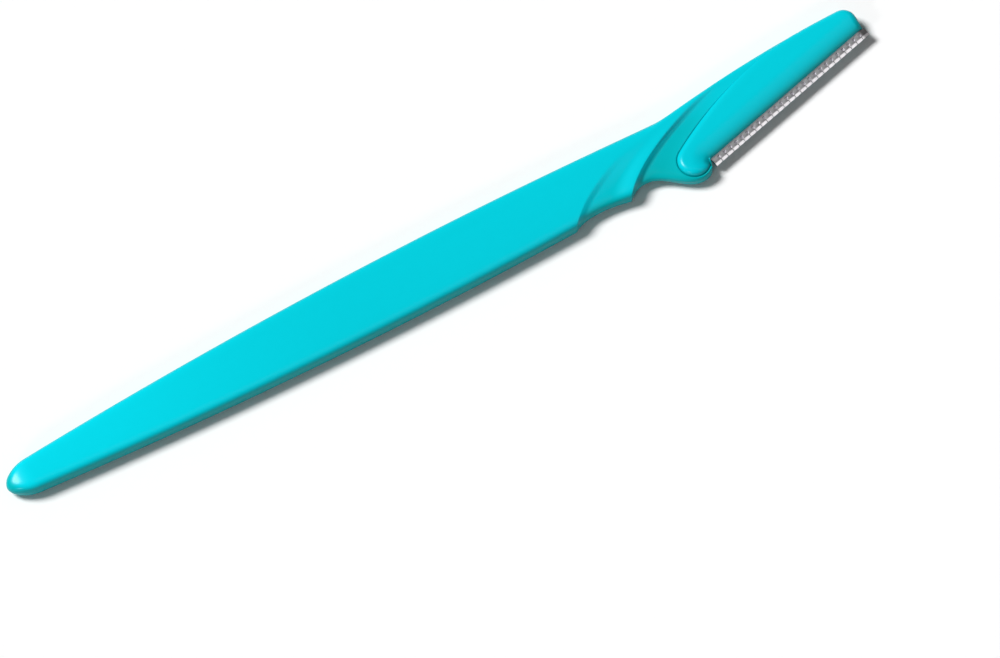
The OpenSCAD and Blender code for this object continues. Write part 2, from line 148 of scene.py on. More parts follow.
class Outline:
    # the plan of the razor: stretches of the front edge, each with its own count of steps
    def __init__(self, values):
        s = self.s = Sizes(values)
        self.along = heading(s.tilt)
        self.across = point(-self.along[1], self.along[0])
        self.toothX = s.gripLength + s.scallopLength
        self.notchX = self.toothX + s.notchLength
        self.heelX = s.gripLength + s.neckLength
        self.corner = point(self.heelX + s.heelLength, -s.edgeFront)
        self.tip = self.corner + s.edgeLength * self.along
        self.backY = self.tip[1] + s.tipWidth
        self.tipCentre = point(self.tip[0] - s.tipRadius, self.backY - s.tipRadius)
        self.heelLow = point(self.heelX, self.corner[1] - s.heelDrop)
        self.flank = self.corner - point(s.flankShares[0] * s.heelLength, s.flankShares[1] * s.heelDrop)
        self.mergeX = self.tip[0] - s.seamLength
        self.nose = math.asin(s.noseShare)
        self.stretches = [
            (s.runSteps, self.tailRun), (s.runSteps, self.gripRun), (s.runSteps, self.taperRun),
            (s.runSteps, self.scallopRun), (s.runSteps, self.notchRun), (s.runSteps, self.heelRun),
            (s.cornerSteps, self.flankRun), (1, self.cornerRun), (s.runSteps, self.bladeRun),
            (s.cornerSteps, self.tipRun),
        ]
        self.ends = np.cumsum([0] + [steps for steps, run in self.stretches])
        (self.tailEnd, self.gripEnd, self.taperEnd, self.scallopEnd, self.notchEnd, self.heelEnd,
         self.flankEnd, self.cornerEnd, self.bladeEnd, self.tipEnd) = self.ends[1:]
        # the neck's two steps start here on the front edge, and lean on to their crests at the back
        self.crestStations = (self.taperEnd, self.scallopEnd)
        self.firstCrest = s.gripLength + s.firstLean
        self.secondCrest = self.toothX + s.secondLean
        pastFirst, pastSecond = self.taperEnd + s.afterFirstSteps, self.scallopEnd + s.afterSecondSteps
        self.backStations = [self.gripEnd, self.taperEnd, pastFirst, self.scallopEnd, pastSecond,
                             self.heelEnd, self.flankEnd, self.bladeEnd]
        self.backXs = [s.gripPeak, self.firstCrest, self.firstCrest + s.afterFirst, self.secondCrest,
                       *(self.secondCrest + past for past in s.afterSecond), self.tipCentre[0]]
        self.leanStations = [pastSecond, self.heelEnd, self.flankEnd, self.cornerEnd, self.bladeEnd]

    def tailHalf(self, x):
        s = self.s
        gone = (s.gripPeak - x) / (s.gripPeak - s.tailLength)
        return s.gripWidth / 2 - (s.gripWidth - s.tailWidth) / 2 * gone ** 2

    def taperHalf(self, x, endX, endHalf):
        s = self.s
        gone = (x - s.gripPeak) / (endX - s.gripPeak)
        return s.gripWidth / 2 - (s.gripWidth / 2 - endHalf) * gone ** 2

    def backEdge(self, x):
        s = self.s
        if x < s.gripPeak:
            return self.tailHalf(x)
        grip = self.taperHalf(x, self.heelX, s.waistBack)
        head = self.backY - (self.tipCentre[0] - x) ** 2 / (2 * s.backRadius)
        return (grip + head + math.hypot(grip - head, s.waistBlend * s.gripWidth)) / 2

    def tailRun(self, t):
        a = mix(self.nose, math.pi / 2, t)
        x = self.s.tailLength * (1 - math.cos(a) / math.cos(self.nose))
        return point(x, -self.tailHalf(x) * math.sin(a))

    def gripRun(self, t):
        x = mix(self.s.tailLength, self.s.gripPeak, t)
        return point(x, -self.tailHalf(x))

    def taperRun(self, t):
        x = mix(self.s.gripPeak, self.s.gripLength, t)
        return point(x, -self.taperHalf(x, self.s.gripLength, self.s.stepFront))

    def scallopRun(self, t):
        s = self.s
        u = t * (t + s.scallopStart) / (1 + s.scallopStart)
        # the curve t (1 - t t) is 2 / (3 sqrt 3) high at its peak
        hollow = s.scallopDepth * t * (1 - t * t) * 1.5 * math.sqrt(3)
        return point(s.gripLength + s.scallopLength * u, hollow - mix(s.stepFront, s.toothFront, u))

    def notchRun(self, t):
        s = self.s
        tooth, notch = point(self.toothX, -s.toothFront), point(self.notchX, -s.notchFront)
        start = point(s.toothPull[0] * s.notchLength, s.toothPull[1] * (s.toothFront - s.notchFront))
        return bezier(tooth, tooth + start, notch - point(s.notchPull * s.notchLength, 0), notch, t)

    def heelRun(self, t):
        s = self.s
        notch, span = point(self.notchX, -s.notchFront), self.heelX - self.notchX
        return bezier(notch, notch + point(s.heelPull[0] * span, 0),
                      self.heelLow - point(s.heelPull[1] * span, 0), self.heelLow, t)

    def flankRun(self, t):
        s = self.s
        up = self.corner - self.flank
        up = up / np.linalg.norm(up) * s.flankPull[1] * (self.flank[1] - self.heelLow[1])
        return bezier(self.heelLow, self.heelLow + point(s.flankPull[0] * s.heelLength, 0),
                      self.flank - up, self.flank, t)

    def cornerRun(self, t):
        return mix(self.flank, self.corner, t)

    def bladeRun(self, t):
        return self.corner + (self.s.edgeLength - self.s.headEdge) * t * self.along

    def tipRun(self, t):
        return self.tip - self.s.headEdge * (1 - math.sin(math.pi / 2 * t)) * self.along

    def front(self, i):
        k = min(int(np.searchsorted(self.ends, i, side="right")) - 1, len(self.stretches) - 1)
        steps, run = self.stretches[k]
        return run((i - self.ends[k]) / steps)

    def back(self, i):
        if i <= self.gripEnd:
            return self.front(i) * (1, -1)
        if i > self.bladeEnd:
            left = 1 - (i - self.bladeEnd) / (self.tipEnd - self.bladeEnd)
            return self.tipCentre + self.s.tipRadius * heading(math.pi / 2 * left)
        x = float(np.interp(i, self.backStations, self.backXs))
        return point(x, self.backEdge(x))

    def lean(self, i):
        return float(np.interp(i, self.leanStations, self.s.leans))


plan = Outline(shape)
bodyHeight = handleHigh.z
midHeight = bodyHeight / 2
seamHeight = coverLow.z
packHeight = 2 * (seamHeight - midHeight)
bedHeight = seamHeight - packHeight
# the outline's own origin is the tail on the middle line
shift = Vector((handleLow.x, handleLow.y - plan.heelLow[1], 0))


def addMesh(name, verts, faces):
    mesh = bpy.data.meshes.new(name)
    mesh.from_pydata([tuple(v) for v in verts], [], [tuple(f) for f in faces])
    mesh.update()
    piece = bpy.data.objects.new(name, mesh)
    scene.collection.objects.link(piece)
    return piece


def cleanMesh(piece):
    # drops points that no face uses, and turns the faces outward
    mesh = bmesh.new()
    mesh.from_mesh(piece.data)
    bmesh.ops.delete(mesh, geom=[v for v in mesh.verts if not v.link_faces], context="VERTS")
    bmesh.ops.recalc_face_normals(mesh, faces=mesh.faces)
    mesh.to_mesh(piece.data)
    mesh.free()


def ringStack(name, rings):
    # closed skin over rings of equal length, with a flat face on its first and last ring
    n, last = len(rings[0]), len(rings) - 1
    faces = [(r * n + k, r * n + (k + 1) % n, (r + 1) * n + (k + 1) % n, (r + 1) * n + k)
             for r in range(last) for k in range(n)]
    faces += [tuple(range(n))[::-1], tuple(last * n + k for k in range(n))]
    piece = addMesh(name, np.concatenate(rings), faces)
    cleanMesh(piece)
    return piece


def applyModifiers(piece):
    graph = bpy.context.evaluated_depsgraph_get()
    made = bpy.data.meshes.new_from_object(piece.evaluated_get(graph))
    piece.modifiers.clear()
    piece.data = made


def carve(piece, cutter, operation="DIFFERENCE"):
    change = piece.modifiers.new("carve", "BOOLEAN")
    change.object, change.operation, change.solver = cutter, operation, "EXACT"
    applyModifiers(piece)
    bpy.data.objects.remove(cutter)


def settle(piece, smoothAngle):
    # moves a finished piece from the outline's origin to the CAD's, and shades it
    piece.data.transform(Matrix.Translation(shift))
    piece.data.shade_smooth()
    piece.data.set_sharp_from_angle(angle=math.radians(smoothAngle))


# Handle
handleDetail = dict(
    stationCounts=(22, 40, 26, 46, 34, 36, 14, 4, 60, 14),   # cross lines on each stretch of the edge
    wallShares=[0.035, 0.07, 0.105, 0.14, 0.18, 0.24],   # close samples up the wall, round the parting line
    edgeSteps=10, faceSteps=22, headEdgeSteps=3,
    crestSteps=[0.06, 0.13, 0.2, 0.28, 0.37, 0.48],   # close stations either side of a crest
    crestSides=(-0.4, 1), crestClear=(-0.25, 0.55), crestSamples=41,
    softenTimes=14, softenReach=0.7, softenShare=0.5,
    underShare=0.75,                          # depth of the steps on the underside
    partingHeight=0.0020, partingRidge=0.00004, partingWidth=0.00012, ridgeFullWidth=0.004,
    openGap=0.00002, closedGap=0.000008,      # gap round the cover at the heel and where it closes
    openLip=0.00026, closedLip=0.00002, lipSteps=7, lipRise=0.00001, recessFlare=1.4,
    smoothAngle=38,
)


def edgeIn(a):
    return 1 - max(0, math.cos(a)) ** (2 / shape["square"])


def edgeUp(a):
    return math.sin(a) ** (2 / shape["square"])


def handleStations(d):
    stations, start = [0.0], 0
    for end, count in zip(plan.ends[1:], d["stationCounts"]):
        stations += list(np.linspace(start, end, count + 1)[1:])
        start = end
    clearFrom, clearTo = d["crestClear"]
    for crest in plan.crestStations:
        near = [crest + side * step for step in d["crestSteps"] for side in d["crestSides"]]
        keep = [i for i in stations if i == crest or not clearFrom < i - crest < clearTo]
        stations = sorted(keep + near)
    return stations


def ringPoint(front, back, lean, v):
    # plan of one cross line of the razor, from its front edge (v = 0) to its back edge (v = 1)
    return mix(front[0], back[0], lean * v + (1 - lean) * v * v), mix(front[1], back[1], v)


def crestLine(i, samples):
    v = np.linspace(0, 1, samples)
    return np.stack(ringPoint(plan.front(i), plan.back(i), plan.lean(i), v), 1)


def distanceTo(points, line, values=None, closed=True):
    # distance from each point to an outline, and a value of the outline at the nearest place
    a, b = line, np.roll(line, -1, 0)
    if not closed:
        a, b = a[:-1], b[:-1]
    span = b - a
    rel = points[:, None, :] - a[None]
    t = np.clip((rel * span).sum(2) / (span * span).sum(1), 0, 1)
    away = np.sqrt(((rel - t[..., None] * span) ** 2).sum(2))
    if values is None:
        return away.min(1)
    near, rows = away.argmin(1), np.arange(len(points))
    return away[rows, near], mix(values[near], np.roll(values, -1)[near], t[rows, near])


crests = [crestLine(i, handleDetail["crestSamples"]) for i in plan.crestStations]


def pastCrest(points, line):
    # distance from a crest, negative on its tail side
    away = distanceTo(points, line, closed=False)
    return np.where(points[:, 0] > np.interp(points[:, 1], line[:, 1], line[:, 0]), away, -away)


def carvedStep(distance, wall, runOut):
    # share of a step's drop: a short steep wall, then a long shallow run-out
    steep = smooth((distance + plan.s.wallLead * wall) / wall)
    shallow = 1 - (1 - np.clip(distance / runOut, 0, 1)) ** 2
    return mix(steep, shallow, plan.s.runOutShare)


def faceDrop(points, v, share):
    # how far the two carved steps lower the face
    s = plan.s
    pastFirst, pastSecond = (pastCrest(points, line) for line in crests)
    between = np.where(pastSecond < 0, pastFirst / (pastFirst - pastSecond + 1e-9), 1)
    first = s.firstDrop * carvedStep(pastFirst, s.firstWall, s.firstRunOut)
    first = first * mix(1, s.firstLeft, fade(between, *s.firstFade)) * (1 - fade(v, *s.firstAcross))
    second = s.secondDrop * carvedStep(pastSecond, s.secondWall, s.secondRunOut)
    return share * (first + second * (1 - fade(v, *s.secondAcross)))


def endShare(i):
    # how much of the thickness is left at a cross line, for the rounded tail and tip
    if i <= plan.tailEnd:
        x = plan.front(i)[0] / plan.s.tailLength
        return math.sqrt(1 - (1 - min(1, mix(plan.s.noseShare, 1, x))) ** 2)
    if i <= plan.bladeEnd:
        return 1
    t = math.sin(math.pi / 2 * (i - plan.bladeEnd) / (plan.tipEnd - plan.bladeEnd))
    return mix(math.sqrt(max(0, 1 - t * t)), 1, plan.s.tipBlunt)


def handleRing(i, d):
    s, front, back = plan.s, plan.front(i), plan.back(i)
    width = back[1] - front[1]
    far = min(s.edgeReach, s.edgeLimit * width)
    near = mix(s.edgeReach, s.headEdge, smooth((i - plan.flankEnd) / d["headEdgeSteps"]))
    near = min(near, s.edgeLimit * width)
    angles = [math.asin(share ** (s.square / 2)) for share in d["wallShares"]]
    angles += list(np.linspace(angles[-1], math.pi / 2, d["edgeSteps"] + 1)[1:])
    # columns across: distance in from the front, share of the height, angle, and which edge it is on
    columns = [(near * edgeIn(a), edgeUp(a), a, 1) for a in angles]
    columns += [(mix(near, width - far, m / d["faceSteps"]), 1, math.pi / 2, 0)
                for m in range(1, d["faceSteps"])]
    columns += [(width - far * edgeIn(a), edgeUp(a), a, -1) for a in angles[::-1]]
    topShare = 1 - fade(back[0], plan.secondCrest, plan.mergeX)
    underShare = d["underShare"] * (1 - fade(front[0], plan.notchX, plan.heelX))
    ridgeShare = (1 - fade(i, plan.notchEnd, plan.heelEnd)) * min(1, width / d["ridgeFullWidth"])
    lean, ends = plan.lean(i), endShare(i)

    def half(side):
        inward, up, a, edge = np.array([(0, 0, 0, 1), *columns, (width, 0, 0, -1)], float).T
        v = inward / width
        points = np.stack(ringPoint(front, back, lean, v), 1)
        drop = faceDrop(points, v, topShare if side > 0 else underShare)
        height = midHeight + (0 if side > 0 else s.soleCut) - s.crown * (2 * v - 1) ** 2
        z = midHeight + side * (height - drop) * up * ends
        line = 1 - np.exp(-((z - d["partingHeight"]) / d["partingWidth"]) ** 2)
        line[[0, -1]] = 1 if side < 0 else 0
        inward = inward + edge * d["partingRidge"] * ridgeShare * line * np.cos(a)
        x, y = ringPoint(front, back, lean, inward / width)
        return np.stack((x, y, np.maximum(z, 0)), 1)

    return np.concatenate((half(-1), half(1)[-2:0:-1]))


def softenCrests(rings, stations, d):
    # rounds the two crests a little, along the razor only
    grid = np.array(rings)
    away = np.array([min(abs(i - crest) for crest in plan.crestStations) for i in stations])
    pull = np.sin(math.pi / 2 * np.clip(1 - away / d["softenReach"], 0, 1))
    pull[0] = pull[-1] = 0
    for k in range(d["softenTimes"]):
        middle = (np.roll(grid, 1, 0) + np.roll(grid, -1, 0)) / 2
        grid += (middle - grid) * d["softenShare"] * pull[:, None, None]
    return grid


# points on each stretch of the cover's leaf
leafCounts = dict(blade=130, tip=9, corner=20, back=26, seam=110, heel=48)


def shares(count):
    # even steps from 0 up to, but not including, 1
    return np.linspace(0, 1, count, endpoint=False)


def coverPlan(n):
    # the cover's leaf, anticlockwise from its inner corner at the heel
    s = plan.s
    heel = point(plan.heelX, plan.heelLow[1] + s.heelRim + s.coverHeelRadius)
    right = plan.corner[0] - s.flankShares[0] * s.heelLength
    inner = point(right, plan.corner[1] - (plan.corner[0] - right) * math.tan(s.tilt))
    endAngle = 2 * math.pi - math.acos((right - heel[0]) / s.coverHeelRadius)
    seamStart = heel + s.coverHeelRadius * heading(s.seamStart)
    seamEnd = point(plan.mergeX, plan.backEdge(plan.mergeX))
    pull = s.seamPull * np.linalg.norm(seamEnd - seamStart)
    leaf = [mix(inner, plan.tip, t) for t in shares(n["blade"])]
    leaf += [plan.tip + (0, (plan.tipCentre[1] - plan.tip[1]) * t) for t in shares(n["tip"])]
    leaf += [plan.tipCentre + s.tipRadius * heading(math.pi / 2 * t) for t in shares(n["corner"])]
    leaf += [point(x, plan.backEdge(x)) for x in mix(plan.tipCentre[0], plan.mergeX, shares(n["back"]))]
    seamFrom = len(leaf)
    leaf += [bezier(seamEnd, seamEnd - pull * heading(s.seamSlopes[1]),
                    seamStart + pull * heading(s.seamSlopes[0]), seamStart, t) for t in shares(n["seam"])]
    leaf += [heel + s.coverHeelRadius * heading(a) for a in np.linspace(s.seamStart, endAngle, n["heel"])]
    # how open the seam is at each point: 0 where it runs out into the back edge, 1 round the heel
    opening = np.ones(len(leaf))
    opening[:seamFrom] = 0
    opening[seamFrom:seamFrom + n["seam"]] = fade(shares(n["seam"]), *s.seamOpens)
    return np.array(leaf), opening


def offsetLine(line, distance):
    # moves a closed outline inwards, or outwards where the distance is negative
    distance = np.asarray(distance, float).reshape(-1, 1)
    before, after = np.roll(line, 1, 0), np.roll(line, -1, 0)
    u = (line - before) / np.linalg.norm(line - before, axis=1)[:, None]
    w = (after - line) / np.linalg.norm(after - line, axis=1)[:, None]
    nu, nw = np.stack((-u[:, 1], u[:, 0]), 1), np.stack((-w[:, 1], w[:, 0]), 1)
    return line + distance * (nu + nw) / (1 + (nu * nw).sum(1))[:, None]


def withHeight(line, z):
    return np.column_stack((line, np.full(len(line), z) if np.isscalar(z) else z))


def inHead(x, y, z):
    # from lengths along and across the blade to the razor's own plan
    return plan.corner[0] + x * plan.along[0] + y * plan.across[0], \
        plan.corner[1] + x * plan.along[1] + y * plan.across[1], z


posts = dict(diameter=0.0016, spacing=0.016, inset=0.0026, height=0.0013, gap=0.00005, sides=40)
steel = dict(
    reach=0.00145, foil=0.00015, foldHalf=0.0005, foldHigh=0.00033, pastTip=0.0002,
    pitch=0.00118, slot=0.00055, edgeGap=0.00018, bladeWidth=0.005, tipWall=0.0006,
)
bedDepth = -steel["reach"] + steel["foil"] + steel["edgeGap"] + steel["bladeWidth"] + posts["gap"]


def postsOf(radius, low, high):
    # the two posts, or the holes for them, one after the other
    for side in (-1, 1):
        x = shape["edgeLength"] / 2 + side * posts["spacing"] / 2
        rings = [np.array([inHead(x + radius * math.cos(a), posts["inset"] + radius * math.sin(a), z)
                           for a in 2 * math.pi * shares(posts["sides"])]) for z in (low, high)]
        yield ringStack("post", rings)


def lipHeights(skin, line):
    # height of the handle's face along the recess, found by dropping a line onto it
    heights = []
    for x, y in line:
        hit, place, *rest = skin.ray_cast(Vector((x, y, 1)), Vector((0, 0, -1)))
        heights.append(place.z if hit else seamHeight)
    return np.maximum(np.array(heights), seamHeight)


def buildHandle(d):
    stations = handleStations(d)
    rings = softenCrests([handleRing(i, d) for i in stations], stations, d)
    skin = ringStack("handle_body", list(rings))
    bpy.context.view_layer.update()
    # the recess widens to a rounded lip where it meets the face
    leaf, opening = coverPlan(leafCounts)
    gap = mix(d["closedGap"], d["openGap"], opening)
    radius = mix(d["closedLip"], d["openLip"], opening)
    lip = lipHeights(skin, offsetLine(leaf, -gap - radius))
    rings = [withHeight(offsetLine(leaf, -gap), seamHeight)]
    for a in np.linspace(0, math.pi / 2, d["lipSteps"] + 1):
        heights = np.maximum(lip - radius * (1 - math.sin(a)), seamHeight + d["lipRise"] * (1 + a))
        rings.append(withHeight(offsetLine(leaf, -gap - radius * (1 - math.cos(a))), heights))
    rings.append(withHeight(offsetLine(leaf, -gap - radius * d["recessFlare"]), 2 * bodyHeight))
    recess = ringStack("recess", rings)
    # the bed for the blade and the guard's flanges, open to the front, with the posts left standing
    clear = shape["seamGap"]
    bedEnd, bedFront = shape["edgeLength"] - steel["tipWall"] + clear, -2 * steel["reach"]
    bedPlan = ((0, bedFront), (bedEnd, bedFront), (bedEnd, bedDepth), (0, bedDepth))
    carve(recess, ringStack("bed", [np.array([inHead(x, y, z) for x, y in bedPlan])
                                    for z in (bedHeight, seamHeight + 2 * clear)]), "UNION")
    for post in postsOf(posts["diameter"] / 2, bedHeight / 2, bedHeight + posts["height"]):
        carve(recess, post)
    carve(skin, recess)
    settle(skin, d["smoothAngle"])
    return skin, lip


handle, lipLine = buildHandle(handleDetail)
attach(handle, "root")
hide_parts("handle")
print("handle moulded:", len(handle.data.polygons), "faces")

# Blade cover
coverDetail = dict(
    wall=0.00015, bladeReach=0.0030, bladeSquare=1.75, rimReach=0.0011, rimSquare=2.2,
    seamDip=0.00012,                                   # cover's edge below the handle's face at the seam
    cornerMove=0.00025, cornerTimes=3, cornerBends=(0.12, 0.42),   # rounding of sharp plan corners
    edgeSteps=9, firstRing=0.2, ringKeep=0.985, gridStep=0.0003,
    shortest=1e-6, weld=1e-8, socketCut=0.0005, smoothAngle=35,
)


def roundCorners(line, d):
    # softens sharp plan corners by pulling nearby points towards their neighbours' middle
    line = line.copy()
    low, high = d["cornerBends"]
    for k in range(d["cornerTimes"]):
        before, after = np.roll(line, 1, 0), np.roll(line, -1, 0)
        u, w = line - before, after - line
        bend = np.abs(u[:, 0] * w[:, 1] - u[:, 1] * w[:, 0]) \
            / (np.linalg.norm(u, axis=1) * np.linalg.norm(w, axis=1))
        pull = np.clip((bend - low) / (high - low), 0, 1)[:, None]
        move = (before + after) / 2 - line
        length = np.linalg.norm(move, axis=1)[:, None]
        line += move * np.minimum(1, d["cornerMove"] / np.maximum(length, 1e-9)) * pull
    return line


def roundOver(depth, reach, square):
    # share of the drop that is left at a depth inside an edge
    t = np.clip(depth / reach, 0, 1)
    return 1 - (1 - (1 - t) ** square) ** (1 / square)


def insideOf(points, line):
    a, b = line, np.roll(line, -1, 0)
    x, y = points[:, :1], points[:, 1:]
    spans = (a[:, 1] > y) != (b[:, 1] > y)
    rise = np.where(b[:, 1] == a[:, 1], 1, b[:, 1] - a[:, 1])
    reachX = a[:, 0] + (y - a[:, 1]) * (b[:, 0] - a[:, 0]) / rise
    return ((spans & (x < reachX)).sum(1) % 2) == 1


def coverTriangles(line, d):
    # flat triangles over the leaf: close rings inside its rim, and a plain grid inside those
    count = len(line)
    verts, edges = list(map(tuple, line)), [(k, (k + 1) % count) for k in range(count)]
    reaches = [d["rimReach"] * k / d["edgeSteps"] for k in range(1, d["edgeSteps"] + 1)]
    for reach in [d["firstRing"] * reaches[0]] + reaches:
        ring = offsetLine(line, reach)
        keep = distanceTo(ring, line) > reach * d["ringKeep"] - 1e-7
        index = {}
        for k in np.flatnonzero(keep):
            index[k] = len(verts)
            verts.append(tuple(ring[k]))
        edges += [(index[k], index[(k + 1) % count]) for k in index if (k + 1) % count in index
                  and np.linalg.norm(ring[k] - ring[(k + 1) % count]) > d["shortest"]]
    low, high = line.min(0), line.max(0)
    grid = np.array([(x, y) for x in np.arange(low[0], high[0], d["gridStep"])
                     for y in np.arange(low[1], high[1], d["gridStep"])])
    grid = grid[insideOf(grid, line)]
    grid = grid[distanceTo(grid, line) > d["rimReach"] + d["gridStep"] / 2]
    verts += list(map(tuple, grid))
    made = delaunay_2d_cdt([Vector(v) for v in verts], edges, [], 1, d["weld"])
    return np.array([tuple(v) for v in made[0]]), made[2]


def coverHeights(flat, line, opening, d):
    # the edge is low along the blade, and level with the handle's face along the seam
    bladeCount = leafCounts["blade"]
    lowest = seamHeight + d["wall"]
    base = np.maximum(lowest, lipLine - d["seamDip"] * opening)
    fromBlade = distanceTo(flat, line[:bladeCount + 1], closed=False)
    rim, rimBase = (np.roll(values, -bladeCount, 0)[:-bladeCount] for values in (line, base))
    depth, low = distanceTo(flat, rim, rimBase, closed=False)
    bladeDrop = (bodyHeight - lowest) * roundOver(fromBlade, d["bladeReach"], d["bladeSquare"])
    rimDrop = (bodyHeight - low) * roundOver(depth, d["rimReach"], d["rimSquare"])
    return bodyHeight - bladeDrop - rimDrop + bladeDrop * rimDrop / (bodyHeight - lowest)


def buildCover(d):
    leaf, opening = coverPlan(leafCounts)
    line = roundCorners(leaf, d)
    flat, faces = coverTriangles(line, d)
    heights = coverHeights(flat, line, opening, d)
    mesh = bmesh.new()
    made = [mesh.verts.new((x, y, z)) for (x, y), z in zip(flat, heights)]
    for face in faces:
        mesh.faces.new([made[k] for k in face])
    # wall down to the seam, then a flat underside
    rim = [e for e in mesh.edges if e.is_boundary]
    ring = bmesh.ops.extrude_edge_only(mesh, edges=rim)["geom"]
    for v in ring:
        if isinstance(v, bmesh.types.BMVert):
            v.co.z = seamHeight
    bottom = [e for e in ring if isinstance(e, bmesh.types.BMEdge) and e.is_boundary]
    bmesh.ops.edgeloop_fill(mesh, edges=bottom)
    bmesh.ops.recalc_face_normals(mesh, faces=mesh.faces)
    piece = addMesh("cover_plate", [], [])
    mesh.to_mesh(piece.data)
    mesh.free()
    for socket in postsOf(posts["diameter"] / 2 + posts["gap"], seamHeight - d["socketCut"],
                          bedHeight + posts["height"] + posts["gap"]):
        carve(piece, socket)
    settle(piece, d["smoothAngle"])
    return piece


cover = buildCover(coverDetail)
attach(cover, "root")
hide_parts("blade_cover")
print("cover moulded:", len(cover.data.polygons), "faces")

# Edge guard
guardDetail = dict(
    ribColumns=8, slotColumns=2, flangeRows=4, filletRows=3, ribRows=3, bendRows=6, foldRows=18,
    flangeEnd=0.4,            # where a flange's last row lies, as a share of the way to the slots
    rootRadius=0.00016,
    bendStart=0.95, bendPull=(0.4, 0.5),      # where the foil starts to open into the fold, and how roundly
    knuckleFlare=0.00022,     # how much wider a rib is at the fold, on each side
    knucklePillow=0.00002, pillowPower=2.4,   # how far the sides of a rib fall away at the fold
    drawIn=3,                 # over how many slots the flanges are drawn in behind the tip
    smoothAngle=40,
)


def guardPath(d):
    # outer surface of the foil from the back of the upper flange, round the fold, to the back of
    # the lower one: place across the edge, height from mid, share of the fold, and distance past
    # the slots' root, which is -1 on the flanges
    half, wide, high = packHeight / 2, steel["foldHalf"], steel["foldHigh"]
    centre, root = wide - steel["reach"], -steel["slot"] / 2
    flat = point(centre + d["bendStart"] * wide, half)
    upper = [(y, half, 0, -1)
             for y in (*np.linspace(bedDepth, 0, d["flangeRows"]), d["flangeEnd"] * root)]
    rootEnd = root - d["rootRadius"]
    upper += [(y, half, 0, root - y) for y in (*np.linspace(root, rootEnd, d["filletRows"], endpoint=False),
                                               *np.linspace(rootEnd, flat[0], d["ribRows"]))]
    top = point(centre, high)
    pulls = [point(share * wide, 0) for share in d["bendPull"]]
    for t in np.linspace(0, 1, d["bendRows"] + 1)[1:-1]:
        y, z = bezier(flat, flat - pulls[0], top + pulls[1], top, t)
        upper.append((y, z, smooth(t), root - y))
    turns = np.linspace(0.5 * math.pi, 1.5 * math.pi, d["foldRows"] + 1)
    fold = [(centre + wide * math.cos(a), high * math.sin(a), 1, 1) for a in turns]
    return upper + fold + [(y, -z, share, past) for y, z, share, past in upper[::-1]]


def guardColumns(length, d):
    # columns along the edge: place, whether a rib lies just after it, and where on the rib it is,
    # from -1 to 1; the first and the last rib flare on one side only
    slots = math.floor((length - steel["slot"]) / steel["pitch"])
    first = (length - slots * steel["pitch"]) / 2 + steel["pitch"] / 2
    columns, ribStart = [], shape["seamGap"]
    for n in range(slots + 1):
        ribEnd = first + n * steel["pitch"] - steel["slot"] / 2 if n < slots else length
        for k in range(d["ribColumns"] + 1):
            s = 2 * k / d["ribColumns"] - 1
            spread = max(s, 0) if n == 0 else min(s, 0) if n == slots else s
            columns.append((mix(ribStart, ribEnd, (s + 1) / 2), k < d["ribColumns"], spread))
        ribStart = ribEnd + steel["slot"]
        if n < slots:
            columns += [(mix(ribEnd, ribStart, k / d["slotColumns"]), False, 0)
                        for k in range(1, d["slotColumns"])]
    return columns


def buildGuard(d):
    length = shape["edgeLength"] + steel["pastTip"]
    path, columns = guardPath(d), guardColumns(length, d)
    # inside the handle the flanges stop short of its end wall
    insideFrom, insideTo = length - d["drawIn"] * steel["pitch"], shape["edgeLength"] - steel["tipWall"]
    centre, root = point(steel["foldHalf"] - steel["reach"], 0), d["rootRadius"]
    verts = []
    for y, z, share, past in path:
        fillet = root - math.sqrt(root ** 2 - (root - past) ** 2) if 0 <= past < root else 0
        out = point(y, z) - centre
        for x, rib, s in columns:
            side = 0 if past < 0 else s * (share * d["knuckleFlare"] + fillet)
            if y >= 0 and x > insideFrom:
                side = (x - insideFrom) / (length - insideFrom) * (insideTo - length)
            inward = share * d["knucklePillow"] * abs(s) ** d["pillowPower"]
            place = centre + out * (1 - inward / max(np.linalg.norm(out), 1e-9))
            verts.append(inHead(x + side, place[0], midHeight + place[1]))
    n = len(columns)
    faces = []
    for r in range(len(path) - 1):
        slotted = path[r][3] > 0 or path[r + 1][3] > 0
        faces += [(r * n + k, r * n + k + 1, (r + 1) * n + k + 1, (r + 1) * n + k)
                  for k in range(n - 1) if columns[k][1] or not slotted]
    piece = addMesh("guard_foil", verts, faces)
    cleanMesh(piece)
    thicken = piece.modifiers.new("foil", "SOLIDIFY")
    thicken.thickness, thicken.offset = steel["foil"], -1
    thicken.use_even_offset = True
    applyModifiers(piece)
    for hole in postsOf(posts["diameter"] / 2 + posts["gap"], midHeight - packHeight,
                        midHeight + packHeight):
        carve(piece, hole)
    settle(piece, d["smoothAngle"])
    return piece


guard = buildGuard(guardDetail)
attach(guard, "root")
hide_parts("edge_guard")
print("guard folded:", len(guard.data.polygons), "faces")


# Materials
class Socket:
    # wraps an output so that shader maths reads as plain sums
    def __init__(self, nodes, output):
        self.nodes, self.output = nodes, output

    def maths(self, operation, *others):
        return self.nodes.add("ShaderNodeMath", dict(operation=operation), [self, *others])

    def __add__(self, other):
        return self.maths("ADD", other)

    def __sub__(self, other):
        return self.maths("SUBTRACT", other)

    def __rsub__(self, other):
        return self.maths("MULTIPLY_ADD", -1.0, other)

    def __mul__(self, other):
        return self.maths("MULTIPLY", other)

    __radd__, __rmul__ = __add__, __mul__


